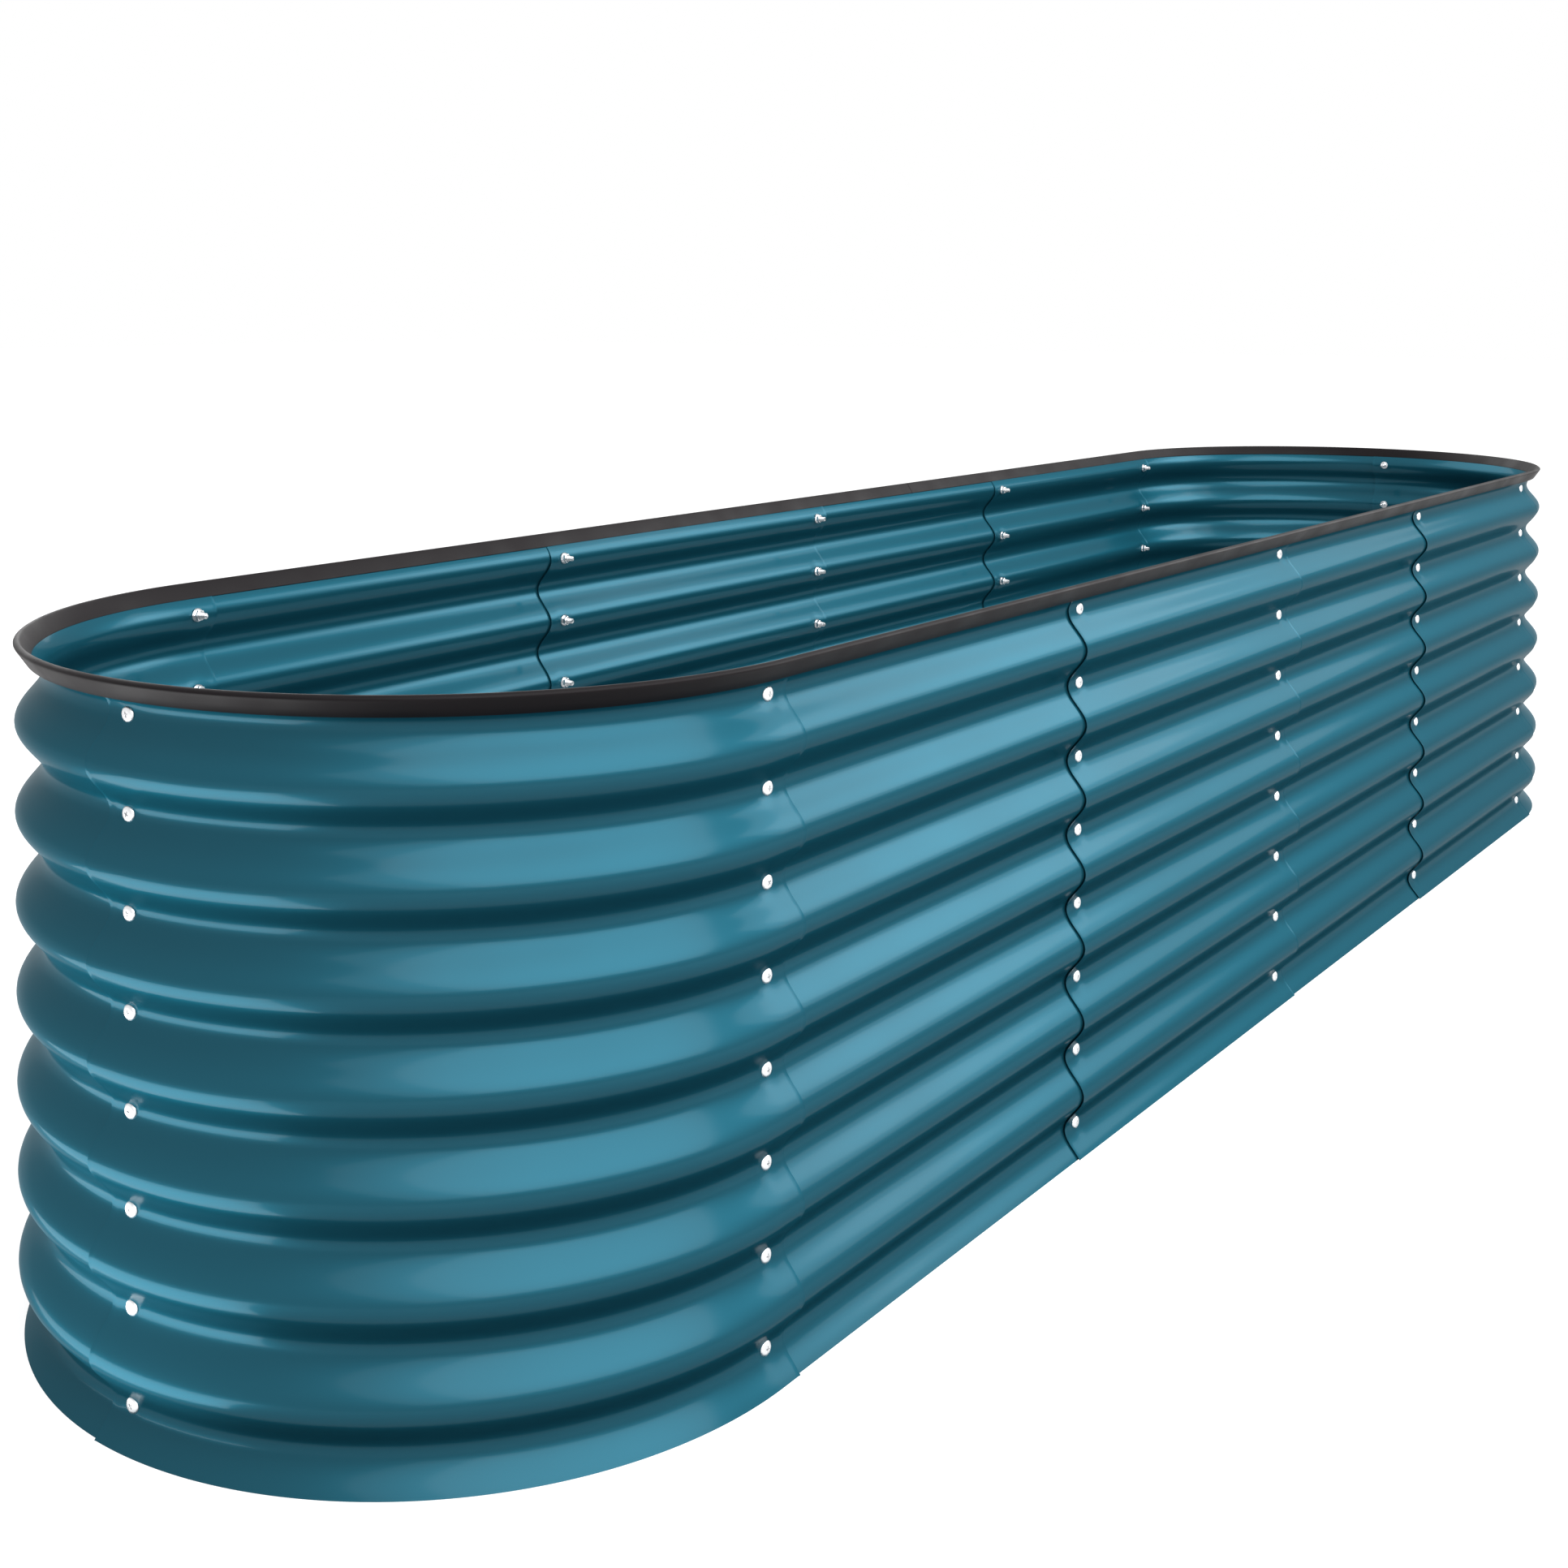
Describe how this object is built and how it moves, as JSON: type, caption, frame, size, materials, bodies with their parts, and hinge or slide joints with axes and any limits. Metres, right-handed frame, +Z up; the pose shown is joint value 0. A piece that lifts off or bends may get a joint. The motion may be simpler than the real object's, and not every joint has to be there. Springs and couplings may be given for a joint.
{
  "type": "raised garden bed",
  "caption": "Long oval raised garden bed of lapped and bolted corrugated steel panels with a rubber top trim, open at top and bottom.",
  "frame": {"origin": "centre of the footprint, on the ground that the bottom edge rests on", "axes": "+X along the bed to its right end, +Z up, the front side faces -Y"},
  "size_m": [3.048, 0.762, 0.6092],
  "materials": {
    "painted_sheet": "gloss teal coating on galvanised corrugated steel sheet",
    "zinc_plated_steel": "bright zinc plate",
    "rubber_trim": "satin extruded rubber"
  },
  "bodies": {
    "root": {"corner_panel_front_left": "painted_sheet", "corner_panel_front_right": "painted_sheet", "corner_panel_back_right": "painted_sheet", "corner_panel_back_left": "painted_sheet", "side_panel_front_1": "painted_sheet", "side_panel_front_2": "painted_sheet", "side_panel_front_3": "painted_sheet", "side_panel_front_4": "painted_sheet", "side_panel_back_1": "painted_sheet", "side_panel_back_2": "painted_sheet", "side_panel_back_3": "painted_sheet", "side_panel_back_4": "painted_sheet", "seam_bolts_left_end": "zinc_plated_steel", "seam_bolts_right_end": "zinc_plated_steel", "seam_bolts_front_1": "zinc_plated_steel", "seam_bolts_front_2": "zinc_plated_steel", "seam_bolts_front_3": "zinc_plated_steel", "seam_bolts_front_4": "zinc_plated_steel", "seam_bolts_front_5": "zinc_plated_steel", "seam_bolts_back_1": "zinc_plated_steel", "seam_bolts_back_2": "zinc_plated_steel", "seam_bolts_back_3": "zinc_plated_steel", "seam_bolts_back_4": "zinc_plated_steel", "seam_bolts_back_5": "zinc_plated_steel", "seam_nuts_left_end": "zinc_plated_steel", "seam_nuts_right_end": "zinc_plated_steel", "seam_nuts_front_1": "zinc_plated_steel", "seam_nuts_front_2": "zinc_plated_steel", "seam_nuts_front_3": "zinc_plated_steel", "seam_nuts_front_4": "zinc_plated_steel", "seam_nuts_front_5": "zinc_plated_steel", "seam_nuts_back_1": "zinc_plated_steel", "seam_nuts_back_2": "zinc_plated_steel", "seam_nuts_back_3": "zinc_plated_steel", "seam_nuts_back_4": "zinc_plated_steel", "seam_nuts_back_5": "zinc_plated_steel", "tie_rod_1": "zinc_plated_steel", "tie_rod_2": "zinc_plated_steel", "tie_rod_3": "zinc_plated_steel", "edge_trim": "rubber_trim"}
  },
  "joints": []
}
